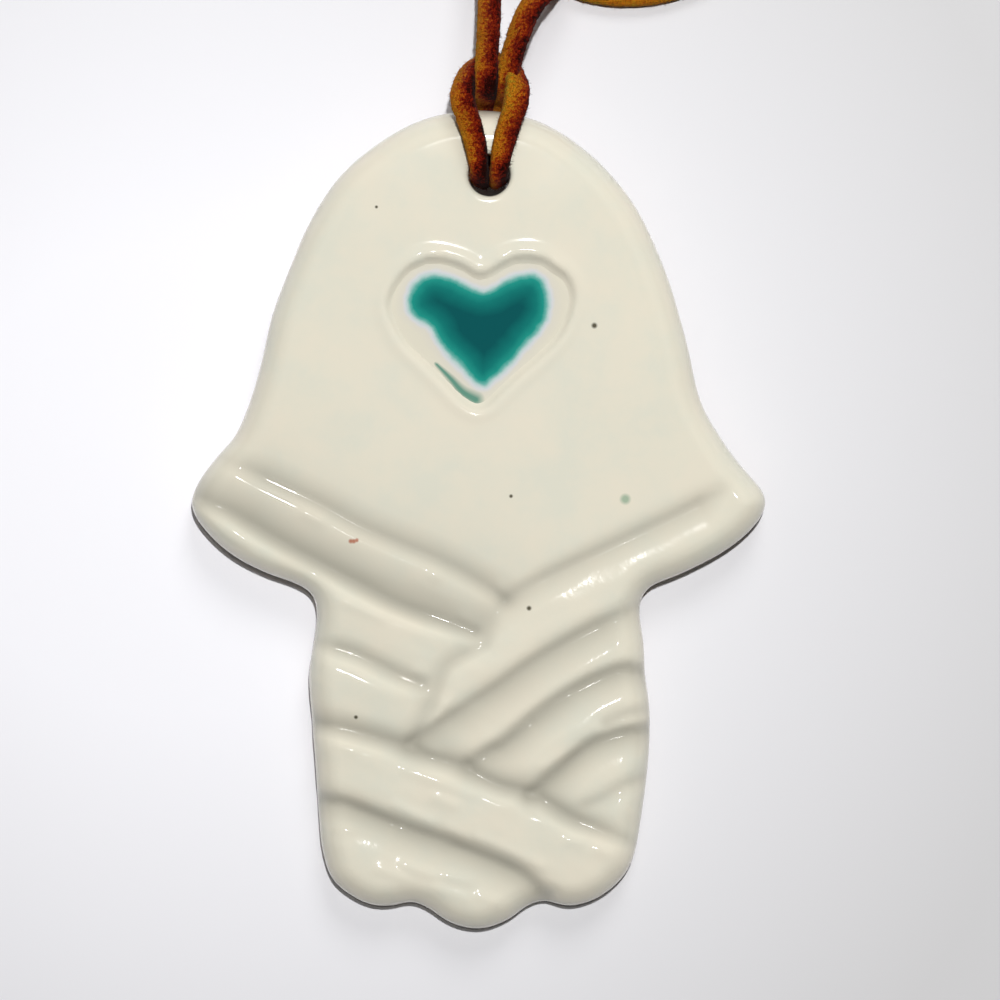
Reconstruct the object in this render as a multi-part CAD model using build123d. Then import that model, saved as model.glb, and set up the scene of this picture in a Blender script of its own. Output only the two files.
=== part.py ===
from build123d import *
import os
from math import asin, ceil, cos, degrees, radians, sin, sqrt, tan

os.makedirs("parts", exist_ok=True)

# A ceramic hamsa hand that lies on its back, with a suede lace hitched through its hanging hole.
# Millimetres. The fingers point to -Y, the hanging hole is towards +Y and the decorated face looks up.

# Hand slab
hand_width = 69.5
hand_length = 98.9
slab_thickness = 6.0
front_rounding = 2.0
front_edge_easing = 0.5
back_bevel = 0.7
wing_tip_radius = 3.6
notch_radius = 1.6
finger_corner_radius = 7.0
cusp_radius = 1.2
level_share = 0.001

# Hanging hole
hole_radius = 2.5
hole_side_offset = 1.3
hole_to_top_edge = 7.8
hole_bevel = 0.7
rim_match_share = 0.01

# Heart recess and its glaze pool
heart_width = 23.2
heart_height = 18.9
heart_side_offset = 0.3
heart_from_centre = 22.8
recess_depth = 1.2
recess_floor_share = 0.72
glaze_thickness = 0.7
glaze_clearance = 0.12

# Grooves between the crossed bands
groove_tool_radius = 2.6
groove_tool_sides = 16
groove_depth = 0.95

# Lace
lace_diameter = 2.1
lace_sides = 8
lace_gap = 0.35
run_share = 0.45
gap_checks = 120
rim_gap = 0.8
hitch_bend_radius = 2.2
strand_side = 1.25
strand_rise = 0.3
coil_centre_x = 18.0
coil_centre_y = 83.6
outer_turn_radius = 19.7
inner_turn_radius = 16.5
outer_start_angle = 180
inner_start_angle = 75
end_angle = -120
left_exit_run = 3.8
right_exit_run = 3.0
turn_entry_run = 3.4
knot_length = 6.6
knot_width = 5.2
knot_waist = 4.0
knot_lead = 1.0
knot_wraps = 3
wrap_rise_share = 0.3
left_end_route = [(3.4, 74.6, 1.6), (2.9, 78.4, 1.05), (3.1, 82.6, 1.05)]
right_end_route = [(6.0, 74.4, 1.6), (6.1, 78.0, 1.05), (5.7, 81.6, 1.05)]

cut_overrun = 1.0

# Outline of the slab, clockwise, as shares of half its width and half its length
palm_shares = [
    (-1.024, 0.020), (-0.913, 0.150), (-0.806, 0.267), (-0.737, 0.442), (-0.654, 0.616),
    (-0.530, 0.791), (-0.371, 0.908), (-0.190, 0.977), (0.010, 1.000), (0.200, 0.975),
    (0.370, 0.903), (0.521, 0.791), (0.645, 0.616), (0.720, 0.442), (0.790, 0.267),
    (0.888, 0.150), (1.036, 0.030),
]
right_wing_shares = [(1.036, 0.030), (0.830, -0.080), (0.560, -0.163)]
right_side_shares = [
    (0.560, -0.163), (0.568, -0.299), (0.590, -0.440), (0.590, -0.560), (0.565, -0.700), (0.515, -0.930),
]
right_end_shares = [(0.515, -0.930), (0.350, -0.950), (0.206, -0.942)]
middle_finger_shares = [(0.206, -0.942), (0.000, -1.000), (-0.209, -0.937)]
left_end_shares = [(-0.209, -0.937), (-0.360, -0.940), (-0.520, -0.925)]
left_side_shares = [
    (-0.520, -0.925), (-0.555, -0.700), (-0.565, -0.560), (-0.588, -0.400), (-0.566, -0.290),
    (-0.566, -0.166),
]
left_wing_shares = [(-0.566, -0.166), (-0.820, -0.097), (-1.024, 0.020)]

# Grooves, each an arc through three places, with the share of the full depth at each of the three.
# An end with the rising share lies above the face, so that the groove fades out there. The other
# ends lie past the outline.
rising_share = -0.25
groove_shares = [
    ((-0.837, 0.155), (-0.375, -0.022), (0.054, -0.165), (rising_share, 0.75, rising_share)),
    ((-0.920, 0.053), (-0.513, -0.109), (-0.029, -0.255), (rising_share, 0.9, rising_share)),
    ((-0.665, -0.272), (-0.437, -0.315), (-0.188, -0.398), (0.9, 0.9, rising_share)),
    ((-0.679, -0.471), (-0.098, -0.587), (0.454, -0.747), (0.9, 1.0, rising_share)),
    ((-0.665, -0.660), (-0.271, -0.743), (0.178, -0.874), (0.9, 1.0, rising_share)),
    ((0.129, -0.170), (0.558, -0.029), (0.986, 0.112), (rising_share, 0.8, rising_share)),
    ((-0.202, -0.524), (0.143, -0.366), (0.530, -0.214), (rising_share, 0.95, rising_share)),
    ((0.026, -0.563), (0.302, -0.434), (0.682, -0.335), (rising_share, 1.0, 0.9)),
    ((0.205, -0.650), (0.385, -0.558), (0.696, -0.485), (rising_share, 1.0, 0.9)),
    ((0.316, -0.694), (0.471, -0.655), (0.689, -0.597), (rising_share, 0.5, 0.5)),
]

# Heart, as shares of half its width and half its height: cleft, lobe top, side, flank and tip
heart_left_shares = [(-0.01, 0.72), (-0.50, 1.00), (-1.00, 0.34), (-0.66, -0.28), (0.02, -1.00)]
heart_right_shares = [(0.02, -1.00), (0.70, -0.24), (1.00, 0.40), (0.50, 1.00), (-0.01, 0.72)]

lace_radius = lace_diameter / 2
half_width = hand_width / 2
half_length = hand_length / 2
hole_y = half_length - hole_to_top_edge
foot_y = half_length - back_bevel

# The two strands behind the strip above the hole hold the top of the hand off the table
strand_height = lace_diameter + lace_gap
tilt = degrees(asin(strand_height / (hole_y + hole_radius + foot_y)))


def lay_down(shape):
    """Tips a shape of the level hand onto its fingertips and the lace behind it."""
    return Pos(0, -foot_y, 0) * Rot(tilt, 0, 0) * Pos(0, foot_y, 0) * shape


def laid_point(x, y, z):
    """The place on the table of a point of the level hand."""
    turn = radians(tilt)
    reach = y + foot_y
    return Vector(x, reach * cos(turn) - z * sin(turn) - foot_y, reach * sin(turn) + z * cos(turn))


def outline_points(shares):
    return [(x * half_width, y * half_length) for x, y in shares]


def slab_outline():
    edges = [
        Spline(*outline_points(palm_shares)),
        ThreePointArc(*outline_points(right_wing_shares)),
        Spline(*outline_points(right_side_shares)),
        ThreePointArc(*outline_points(right_end_shares)),
        ThreePointArc(*outline_points(middle_finger_shares)),
        ThreePointArc(*outline_points(left_end_shares)),
        Spline(*outline_points(left_side_shares)),
        ThreePointArc(*outline_points(left_wing_shares)),
    ]
    return make_face(edges)


def round_corner(slab, share, radius):
    """Rounds the upright edge of the slab at one corner of its outline."""
    x, y = share[0] * half_width, share[1] * half_length
    upright = slab.edges().filter_by(Axis.Z).sort_by_distance((x, y, slab_thickness / 2))[0]
    return fillet(upright, radius)


def level_edges(slab, height):
    """The edges of the slab that lie level at a height."""
    room = slab_thickness * level_share

    def lies_there(edge):
        box = edge.bounding_box()
        return abs(box.min.Z - height) < room and abs(box.max.Z - height) < room

    return slab.edges().filter_by(lies_there)


def round_front(slab):
    """Rounds the front rim in three facets."""
    first = front_rounding * (2 - sqrt(2))
    slab = chamfer(level_edges(slab, slab_thickness), first)
    both = level_edges(slab, slab_thickness) + level_edges(slab, slab_thickness - first)
    return chamfer(both, front_edge_easing)


def groove_cutter(start, middle, end, depth_shares):
    """A bar bent to an arc, that takes one groove out of the front face."""
    places = []
    for (x, y), depth_share in zip((start, middle, end), depth_shares):
        height = slab_thickness + groove_tool_radius - groove_depth * depth_share
        places.append(Vector(x * half_width, y * half_length, height))
    path = ThreePointArc(*places)
    seat = Plane(origin=path @ 0, x_dir=(0, 0, 1), z_dir=path % 0)
    return sweep(seat * RegularPolygon(groove_tool_radius, groove_tool_sides), path=path)


def hole_rims(slab):
    """The two circles where the hanging hole meets the front and the back."""
    circles = slab.edges().filter_by(GeomType.CIRCLE)
    return circles.filter_by(lambda edge: abs(edge.radius / hole_radius - 1) < rim_match_share)


def heart_face(size_share, height):
    """The heart's outline at a share of its full size, level at a height."""
    centre = Vector(heart_side_offset, heart_from_centre, height)

    def places(shares):
        return [
            centre + Vector(x * heart_width / 2, y * heart_height / 2, 0) * size_share
            for x, y in shares
        ]

    return make_face([Spline(*places(heart_left_shares)), Spline(*places(heart_right_shares))])


def recess_share(depth):
    """The heart's size at a depth below the front face, as a share of its size there."""
    return 1 - (1 - recess_floor_share) * depth / recess_depth


def hand_slab():
    slab = extrude(slab_outline(), slab_thickness)
    corners = [
        (palm_shares[0], wing_tip_radius), (palm_shares[-1], wing_tip_radius),
        (left_side_shares[-1], notch_radius), (right_side_shares[0], notch_radius),
        (left_side_shares[0], finger_corner_radius), (right_side_shares[-1], finger_corner_radius),
        (left_end_shares[0], cusp_radius), (right_end_shares[-1], cusp_radius),
    ]
    for share, radius in corners:
        slab = round_corner(slab, share, radius)
    slab = round_front(slab)
    slab = chamfer(level_edges(slab, 0), back_bevel)
    for groove in groove_shares:
        slab -= groove_cutter(*groove)
    bore = Cylinder(hole_radius, slab_thickness + cut_overrun)
    slab -= Pos(hole_side_offset, hole_y, slab_thickness / 2) * bore
    slab = chamfer(hole_rims(slab), hole_bevel)
    mouth = heart_face(recess_share(-cut_overrun), slab_thickness + cut_overrun)
    floor = heart_face(recess_floor_share, slab_thickness - recess_depth)
    return slab - loft([mouth, floor], ruled=True)


def heart_glaze():
    """The pool of glass that fills the lower part of the recess and lies on its floor."""
    inset = glaze_clearance / (heart_width / 2)
    floor = heart_face(recess_floor_share - inset, slab_thickness - recess_depth)
    level = heart_face(
        recess_share(recess_depth - glaze_thickness) - inset,
        slab_thickness - recess_depth + glaze_thickness,
    )
    return loft([floor, level], ruled=True)


def as_vectors(route):
    return [Vector(*place) for place in route]


def run_radii(places, widest=None):
    """The radius at each corner of a route, as large as the shorter of its two runs allows."""
    radii = []
    for before, corner, after in zip(places, places[1:], places[2:]):
        first, second = corner - before, after - corner
        half_turn = radians(first.get_angle(second)) / 2
        radius = run_share * min(first.length, second.length) / tan(half_turn)
        radii.append(min(radius, widest) if widest else radius)
    return radii


def lace_tube(name, path):
    """The lace along a path, with its volume set against its section times its length."""
    way = path % 0
    seat = Plane(origin=path @ 0, x_dir=way.cross(Vector(0, 0, 1)), z_dir=way)
    section = seat * Rot(0, 0, 180 / lace_sides) * RegularPolygon(lace_radius, lace_sides)
    tube = sweep(section, path=path)
    share = tube.volume / (section.area * path.length)
    print(name, "length", round(path.length, 1), "volume share", round(share, 4))
    return tube


def lace_stretch(name, places, widest=None):
    """A stretch of lace along straight runs joined by tangent arcs."""
    radii = run_radii(places, widest)
    print(name, "radii", [round(radius, 1) for radius in radii])
    return lace_tube(name, FilletPolyline(*places, radius=radii))


# The hitch, as places of the level hand: across from the hole's axis, along the hand, and height
back_height = -lace_gap - lace_radius
front_height = slab_thickness + lace_gap + lace_radius
over_edge_y = half_length + lace_radius + rim_gap


def hitch_strand(side, free_end, bight):
    """One strand: over the top edge, behind the strip, out through the hole and up to the bight."""
    return free_end + [
        (side * strand_side, over_edge_y, front_height),
        (side * strand_side, over_edge_y, back_height),
        (side * strand_side, hole_y + strand_rise, back_height),
        (side * strand_side, hole_y + strand_rise, front_height),
    ] + bight


left_free_end = [(-0.15, 57.9, 6.9), (-0.3, 55.4, 7.3)]
left_bight = [(-3.35, 48.25, 7.4), (-3.6, 51.55, 6.2), (-2.9, 54.05, 4.6), (-0.9, 55.35, 4.3)]
right_free_end = [(3.35, 57.8, 6.9), (2.36, 55.4, 7.3)]
right_bight = [(3.45, 48.25, 7.4), (3.7, 51.55, 6.2), (3.5, 54.05, 4.6), (1.6, 55.35, 4.3)]

left_strand = hitch_strand(-1, left_free_end, left_bight)
right_strand = hitch_strand(1, right_free_end, right_bight)
hitch_route = [laid_point(x + hole_side_offset, y, z) for x, y, z in left_strand + right_strand[::-1]]
left_exit, right_exit = hitch_route[0], hitch_route[-1]
left_way_out = (left_exit - hitch_route[1]).normalized()
right_way_out = (right_exit - hitch_route[-2]).normalized()

# The two turns, as places round the coil's centre
table_height = lace_radius


def turn_place(radius, angle):
    return Vector(
        coil_centre_x + radius * cos(radians(angle)),
        coil_centre_y + radius * sin(radians(angle)),
        table_height,
    )


def turn_direction(angle):
    """The way that a clockwise turn runs at an angle."""
    return Vector(sin(radians(angle)), -cos(radians(angle)), 0)


def lace_turn(name, radius, start_angle, end_angle):
    """One clockwise turn of a strand, as an unbroken tube along arcs of at most a quarter turn."""
    arcs = ceil((start_angle - end_angle) / 90)
    step = (start_angle - end_angle) / arcs
    path = Wire([
        ThreePointArc(
            turn_place(radius, start_angle - step * index),
            turn_place(radius, start_angle - step * (index + 0.5)),
            turn_place(radius, start_angle - step * (index + 1)),
        )
        for index in range(arcs)
    ])
    places = [path @ (index / gap_checks) for index in range(gap_checks + 1)]
    apart = ceil(gap_checks / arcs)
    least = min(
        (places[one] - places[other]).length
        for one in range(gap_checks + 1)
        for other in range(one + apart, gap_checks + 1)
    )
    print(name, "least gap to itself", round(least - lace_diameter, 2))
    return lace_tube(name, path)


# The free stretches on the table, from the hitch to the turns
inner_start = turn_place(inner_turn_radius, inner_start_angle)
left_tail_route = [
    left_exit,
    left_exit + left_way_out * left_exit_run,
    (1.3, 65.6, 7.7),
    (0.5, 69.5, 5.2),
    (-0.6, 73.3, 2.6),
    (-1.5, 77.2, table_height),
    (-1.7, 80.6, table_height),
    turn_place(outer_turn_radius, outer_start_angle),
]
right_tail_route = [
    right_exit,
    right_exit + right_way_out * right_exit_run,
    (7.2, 62.8, 8.4),
    (9.7, 65.7, 6.8),
    (11.6, 68.9, 5.0),
    (12.4, 73.0, 3.0),
    (11.6, 77.8, 1.4),
    (9.9, 82.6, table_height),
    (8.85, 87.9, table_height),
    (8.85, 92.5, table_height),
    (10.87, 96.6, table_height),
    (14.5, 99.45, table_height),
    inner_start - turn_direction(inner_start_angle) * turn_entry_run,
    inner_start,
]


def knot_lump():
    """The wraps of the knot about the X axis, one bulge beside the next."""
    wrap_length = knot_length / knot_wraps
    profile = [(-knot_length / 2, 0), (-knot_length / 2, knot_waist / 2)]
    for index in range(knot_wraps):
        start = -knot_length / 2 + index * wrap_length
        profile.append((start + wrap_length * wrap_rise_share, knot_width / 2))
        profile.append((start + wrap_length * (1 - wrap_rise_share), knot_width / 2))
        profile.append((start + wrap_length, knot_waist / 2))
    profile.append((knot_length / 2, 0))
    return revolve(make_face(Polyline(*profile, close=True)), Axis.X)


def lace_knot():
    """The overhand knot of both strands: its wraps, the strands that go in and the two short ends."""
    outer_in = turn_place(outer_turn_radius, end_angle)
    inner_in = turn_place(inner_turn_radius, end_angle)
    along = turn_direction(end_angle)
    middle = (outer_in + inner_in) / 2 + along * (knot_length / 2 + knot_lead)
    centre = Vector(middle.X, middle.Y, knot_width / 2)
    seat = Plane(origin=centre, x_dir=along, z_dir=(0, 0, 1))
    knot = seat.location * knot_lump()
    for side, start in ((1, outer_in), (-1, inner_in)):
        turn_in = start + along * knot_lead
        inside = centre + seat.y_dir * side * lace_radius
        name = "knot_lead_left" if side == 1 else "knot_lead_right"
        knot += lace_stretch(name, [start, turn_in, inside], lace_diameter)
    for name, route in (("knot_end_left", left_end_route), ("knot_end_right", right_end_route)):
        knot += lace_stretch(name, [centre] + as_vectors(route))
    return knot


def write(name, shape):
    box = shape.bounding_box()
    print(name, "volume", round(shape.volume, 1), "solids", len(shape.solids()), "box", box.min, box.max)
    export_step(shape, f"parts/{name}.step")


write("hand_slab", lay_down(hand_slab()))
write("heart_glaze", lay_down(heart_glaze()))
write("lace_hitch", lace_stretch("lace_hitch", hitch_route, hitch_bend_radius))
write("lace_left_tail", lace_stretch("lace_left_tail", as_vectors(left_tail_route)))
write("lace_right_tail", lace_stretch("lace_right_tail", as_vectors(right_tail_route)))
write("lace_outer_turn", lace_turn("lace_outer_turn", outer_turn_radius, outer_start_angle, end_angle))
write("lace_inner_turn", lace_turn("lace_inner_turn", inner_turn_radius, inner_start_angle, end_angle))
write("lace_knot", lace_knot())
print("tilt", round(tilt, 4), "exits", left_exit, right_exit)
print("hole", laid_point(hole_side_offset, hole_y, slab_thickness / 2))
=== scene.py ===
import math
import random

import bpy
import numpy as np
from mathutils import Matrix, Vector, noise
from mathutils.geometry import delaunay_2d_cdt


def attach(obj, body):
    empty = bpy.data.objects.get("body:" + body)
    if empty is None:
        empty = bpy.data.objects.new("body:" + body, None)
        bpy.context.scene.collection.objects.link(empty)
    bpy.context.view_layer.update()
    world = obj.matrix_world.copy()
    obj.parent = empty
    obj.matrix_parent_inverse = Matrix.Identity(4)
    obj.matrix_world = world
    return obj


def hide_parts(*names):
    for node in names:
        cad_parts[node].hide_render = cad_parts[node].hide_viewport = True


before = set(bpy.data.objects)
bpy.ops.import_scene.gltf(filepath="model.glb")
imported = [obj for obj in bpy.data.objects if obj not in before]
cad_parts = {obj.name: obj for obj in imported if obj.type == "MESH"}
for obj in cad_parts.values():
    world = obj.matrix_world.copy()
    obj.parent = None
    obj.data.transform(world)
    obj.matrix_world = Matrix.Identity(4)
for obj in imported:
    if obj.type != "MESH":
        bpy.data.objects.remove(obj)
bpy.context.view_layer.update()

# A glazed hamsa hand on its back, with a suede lace hitched through its hole. Metres.
mm = 0.001

# Slab of the hand, as the level hand before it is tipped
slab_thickness = 6.0 * mm
half_length = 49.45 * mm
back_bevel = 0.7 * mm
hole_radius = 2.5 * mm
hole_side_offset = 1.3 * mm
hole_to_top_edge = 7.8 * mm
hole_y = half_length - hole_to_top_edge
foot_y = half_length - back_bevel

# The lace behind the hand lifts its top edge off the table
lace_body = 2.1 * mm
lace_gap = 0.35 * mm
strand_height = lace_body + lace_gap
tilt = math.asin(strand_height / (hole_y + hole_radius + foot_y))
tilt_edge = Vector((0, -foot_y, 0))
tip_over = Matrix.Translation(tilt_edge) @ Matrix.Rotation(tilt, 4, "X") @ Matrix.Translation(-tilt_edge)

# The photograph looks straight down; pixels are given in its square frame
frame_pixels = 1000
middle_pixel = (500, 500)
origin_pixel = (478.5, 522.0)
pixel_size = 0.12 * mm
camera_height = 500 * mm
nearest_seen = 10 * mm
sensor_width = 36.0


def from_pixel(pixel):
    """The place on the level hand's face under a pixel."""
    x = (pixel[0] - origin_pixel[0]) * pixel_size
    y = (origin_pixel[1] - pixel[1]) * pixel_size
    return x, y + slab_thickness * math.sin(tilt)


def laid(places):
    """Places of the level hand, tipped onto the table."""
    return [tip_over @ Vector(place) for place in places]


def add_camera():
    """A camera straight above, which sees the photograph's frame."""
    x = (middle_pixel[0] - origin_pixel[0]) * pixel_size
    y = (origin_pixel[1] - middle_pixel[1]) * pixel_size
    lens = bpy.data.cameras.new("camera")
    lens.sensor_width = sensor_width
    lens.lens = sensor_width * camera_height / (pixel_size * frame_pixels)
    lens.clip_start = nearest_seen
    camera = bpy.data.objects.new("camera", lens)
    camera.location = (x, y, slab_thickness + camera_height)
    bpy.context.scene.collection.objects.link(camera)
    bpy.context.scene.camera = camera


add_camera()


# Lace: a flat suede strip, whose strands turn on the table and end in the knot; angles in degrees
lace_width = 3.0 * mm
lace_thickness = 1.6 * mm
table_height = 1.05 * mm
coil_centre = (0.018, 0.0836)
outer_turn_radius = 0.0197
inner_turn_radius = 0.0165
outer_start_angle = 180
inner_start_angle = 75
end_angle = -120
turn_step = 15
curve_resolution = 24


def nurbs_places(route):
    """Places along the smooth curve that has the route as its control points."""
    curve = bpy.data.curves.new("route", "CURVE")
    curve.dimensions = "3D"
    curve.resolution_u = curve_resolution
    spline = curve.splines.new("NURBS")
    spline.points.add(len(route) - 1)
    for point, place in zip(spline.points, route):
        point.co = (*place, 1)
    spline.order_u = 3
    spline.use_endpoint_u = True
    holder = bpy.data.objects.new("route", curve)
    mesh = bpy.data.meshes.new_from_object(holder)
    places = np.array([vertex.co for vertex in mesh.vertices], float)
    bpy.data.objects.remove(holder)
    bpy.data.meshes.remove(mesh)
    bpy.data.curves.remove(curve)
    return places


def on_turn(radius, angle):
    """A place on the table at an angle of a turn."""
    angle = math.radians(angle)
    return coil_centre[0] + radius * math.cos(angle), coil_centre[1] + radius * math.sin(angle), table_height


def turn_route(radius, start_angle):
    """Control points of a clockwise turn on the table, from an angle to the turns' end."""
    count = round((start_angle - end_angle) / (2 * turn_step))
    step = (start_angle - end_angle) / count
    reach = radius / math.cos(math.radians(step / 2))
    route = [on_turn(reach, start_angle - step * (index + 0.5)) for index in range(count)]
    return route + [on_turn(radius, end_angle)]


def unit(vectors):
    return vectors / np.linalg.norm(vectors, axis=-1, keepdims=True)


def rolled(route, rolls, half_width):
    """Half-width vectors of the strip at each control point; a positive roll lifts its right edge."""
    route = np.array(route)
    ways = unit(np.gradient(route, axis=0))
    right = unit(np.cross(ways, (0, 0, 1)))
    up = np.cross(right, ways)
    turns = np.radians(rolls)[:, None]
    return half_width * (right * np.cos(turns) + up * np.sin(turns))


def mesh_object(name, vertices, faces, attributes=None):
    """An object of a mesh, with a value per vertex for each attribute. Faces of many corners stay flat."""
    mesh = bpy.data.meshes.new(name)
    mesh.from_pydata([tuple(vertex) for vertex in vertices], [], [tuple(face) for face in faces])
    for key, values in (attributes or {}).items():
        mesh.attributes.new(key, "FLOAT", "POINT").data.foreach_set("value", np.array(values, np.float32))
    mesh.polygons.foreach_set("use_smooth", [len(face) <= 4 for face in faces])
    mesh.update()
    thing = bpy.data.objects.new(name, mesh)
    bpy.context.scene.collection.objects.link(thing)
    return thing


# The strip's section, rounded by a power, and its nap and loose fibres
section_corners = 3.2
section_sides = 44
section_steps = 12 * section_sides
edge_power = 3
nap_height = 0.085 * mm
nap_grain = 0.42 * mm
fine_nap_share = 0.6
fine_nap_ratio = 2.7
fibres_per_mm = 30
fibre_radius = 0.028 * mm
fibre_reach = (0.18 * mm, 0.62 * mm)
fibre_rise = (0.3, 1.0)
fibre_lean = 0.5
fibre_twist = 0.1
third_of_a_turn = (-0.5, 0.87)
fibre_faces = [(0, 1, 3), (1, 2, 3), (2, 0, 3), (2, 1, 0)]


def strip_section():
    """A rounded rectangle, as shares of the strip's half width and half thickness."""
    angles = np.linspace(0, 2 * math.pi, section_steps)
    power = 2 / section_corners
    across = np.sign(np.cos(angles)) * np.abs(np.cos(angles)) ** power
    upward = np.sign(np.sin(angles)) * np.abs(np.sin(angles)) ** power
    runs = np.hypot(np.diff(across) * lace_width, np.diff(upward) * lace_thickness)
    reached = np.concatenate([[0], np.cumsum(runs)])
    wanted = np.linspace(0, reached[-1], section_sides, endpoint=False)
    return np.interp(wanted, reached, across), np.interp(wanted, reached, upward)


# Where the suede is a deep red brown, partly its own tone and partly painted shade: in the hole, and where
# the strands cross the bight
red_and_shade_places = [
    (Vector((1.3, 40.4, 8.8)) * mm, 4.2 * mm, 0.5),
    (Vector((3.6, 46.5, 9.6)) * mm, 2.6 * mm, 0.16),
    (Vector((0.9, 51.4, 9.8)) * mm, 2.2 * mm, 0.45),
]


def redness_and_shade(places):
    """How deep the red brown and its painted shade are at places of the suede."""
    return np.max([
        strength * np.exp(-(((places - np.array(middle)) ** 2).sum(1) / reach**2) ** 2)
        for middle, reach, strength in red_and_shade_places
    ], axis=0)


def towards_edge(shares):
    """Shares of the section, raised so that they count only near its edges."""
    return np.abs(shares) ** edge_power * np.sign(shares)


def strip(centre, guide, thickness, seed):
    """Vertices, faces and side shares of a napped suede strip along a line, with loose fibres."""
    ways = unit(np.gradient(centre, axis=0))
    across = guide - centre
    across -= ways * (across * ways).sum(1, keepdims=True)
    normal = unit(np.cross(across, ways))
    section_across, section_up = strip_section()
    offset = across[:, None] * section_across[None, :, None]
    offset = offset + normal[:, None] * section_up[None, :, None] * (thickness / 2)
    outward = unit(
        unit(across)[:, None] * towards_edge(section_across)[None, :, None]
        + normal[:, None] * towards_edge(section_up)[None, :, None]
    )
    places = (centre[:, None] + offset).reshape(-1, 3)
    outward = outward.reshape(-1, 3)
    nap = np.array([
        noise.noise(Vector(place / nap_grain))
        + fine_nap_share * noise.noise(Vector(place / nap_grain * fine_nap_ratio))
        for place in places
    ])
    places = places + outward * (nap * nap_height)[:, None]
    side = np.tile(section_across, len(centre))

    rows, sides = len(centre), section_sides
    faces = []
    for row in range(rows - 1):
        for step in range(sides):
            a, b = row * sides + step, row * sides + (step + 1) % sides
            faces.append((a, a + sides, b + sides, b))
    faces.append(tuple(range(sides)))
    faces.append(tuple(range((rows - 1) * sides, rows * sides))[::-1])

    draw = random.Random(seed)
    length = np.linalg.norm(np.diff(centre, axis=0), axis=1).sum()
    vertices, shares = [*places], [*side]
    for _ in range(int(length / mm * fibres_per_mm)):
        row, step = draw.randrange(rows), draw.randrange(sides)
        root, out, along = places[row * sides + step], outward[row * sides + step], ways[row]
        lean = np.array([draw.uniform(-1, 1) for _ in range(3)])
        reach = draw.uniform(*fibre_reach)
        way = unit(out * draw.uniform(*fibre_rise) + along * draw.uniform(-1, 1) + lean * fibre_lean)
        one = unit(np.cross(way, along + fibre_twist * lean)) * fibre_radius
        two = np.cross(way, one)
        first = len(vertices)
        foot = root - out * fibre_radius
        tip = root + way * reach
        if tip[2] < fibre_radius:
            continue
        back, aside = third_of_a_turn[0] * one, third_of_a_turn[1] * two
        corners = [foot + one, foot + back + aside, foot + back - aside, tip]
        vertices += corners
        shares += [side[row * sides + step]] * len(corners)
        faces += [tuple(first + corner for corner in face) for face in fibre_faces]
    return vertices, faces, shares


def join_strips(name, parts):
    """One object of several strips, each given as strip's arguments."""
    vertices, faces, shares = [], [], []
    for part in parts:
        more_vertices, more_faces, more_shares = strip(*part)
        first = len(vertices)
        vertices += more_vertices
        shares += more_shares
        faces += [tuple(first + corner for corner in face) for face in more_faces]
    return mesh_object(name, vertices, faces, {"side": shares, "red": redness_and_shade(np.array(vertices))})


# The hitch: for each strand its places on the level hand from the hole's axis, and its half-width vectors
left_strand = [
    ((-0.15, 57.9, 6.9), (1.2, 0.0, 0.85)),
    ((-0.3, 55.4, 7.3), (1.22, 0.0, 0.8)),
    ((-0.35, 51.2, 7.5), (1.35, 0.0, 0.35)),
    ((-0.8, 50.9, -1.4), (1.35, 0.0, 0.0)),
    ((-1.05, 41.2, -1.4), (1.05, -0.45, 0.0)),
    ((-1.05, 40.9, 7.2), (0.95, -0.62, 0.0)),
    ((-1.45, 44.7, 7.7), (1.35, -0.3, 0.25)),
    ((-2.35, 47.9, 7.8), (1.5, -0.3, 0.45)),
    ((-3.3, 50.4, 8.1), (1.45, -0.1, 0.6)),
    ((-3.05, 52.9, 6.8), (1.2, 0.5, 0.8)),
    ((-1.9, 54.9, 5.0), (0.6, -0.3, 1.2)),
    ((0.5, 55.9, 4.6), (0.1, -0.2, 1.45)),
]
right_strand = [
    ((3.35, 57.8, 6.9), (1.1, -0.3, 0.85)),
    ((2.55, 55.4, 7.1), (1.2, -0.2, 0.8)),
    ((1.8, 51.4, 6.4), (1.3, 0.0, 0.3)),
    ((1.35, 50.9, -1.4), (1.3, 0.0, 0.0)),
    ((1.05, 41.2, -1.4), (1.05, 0.45, 0.0)),
    ((1.05, 40.9, 7.2), (0.95, 0.62, 0.0)),
    ((1.45, 44.4, 7.7), (1.35, 0.3, -0.25)),
    ((2.4, 47.7, 7.9), (1.5, 0.25, -0.4)),
    ((3.35, 50.4, 8.2), (1.5, 0.1, -0.5)),
    ((3.35, 53.0, 7.0), (1.2, -0.5, -0.8)),
    ((2.5, 54.9, 5.2), (0.6, 0.3, -1.2)),
    ((0.2, 55.9, 4.6), (0.1, 0.2, -1.45)),
]


def on_hand(strand):
    """Control points and guide points of a strand of the hitch, tipped with the hand."""
    route = [((x + hole_side_offset / mm) * mm, y * mm, z * mm) for (x, y, z), _ in strand]
    guides = [tuple(np.array(place) + np.array(across) * mm) for place, (_, across) in zip(route, strand)]
    return np.array(laid(route)), np.array(laid(guides))


left_route, left_guides = on_hand(left_strand)
right_route, right_guides = on_hand(right_strand)
left_exit, right_exit = left_route[0], right_route[0]
left_way_out = unit(left_exit - left_route[1])
right_way_out = unit(right_exit - right_route[1])
left_exit_run = 0.0038
right_exit_run = 0.003

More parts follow.
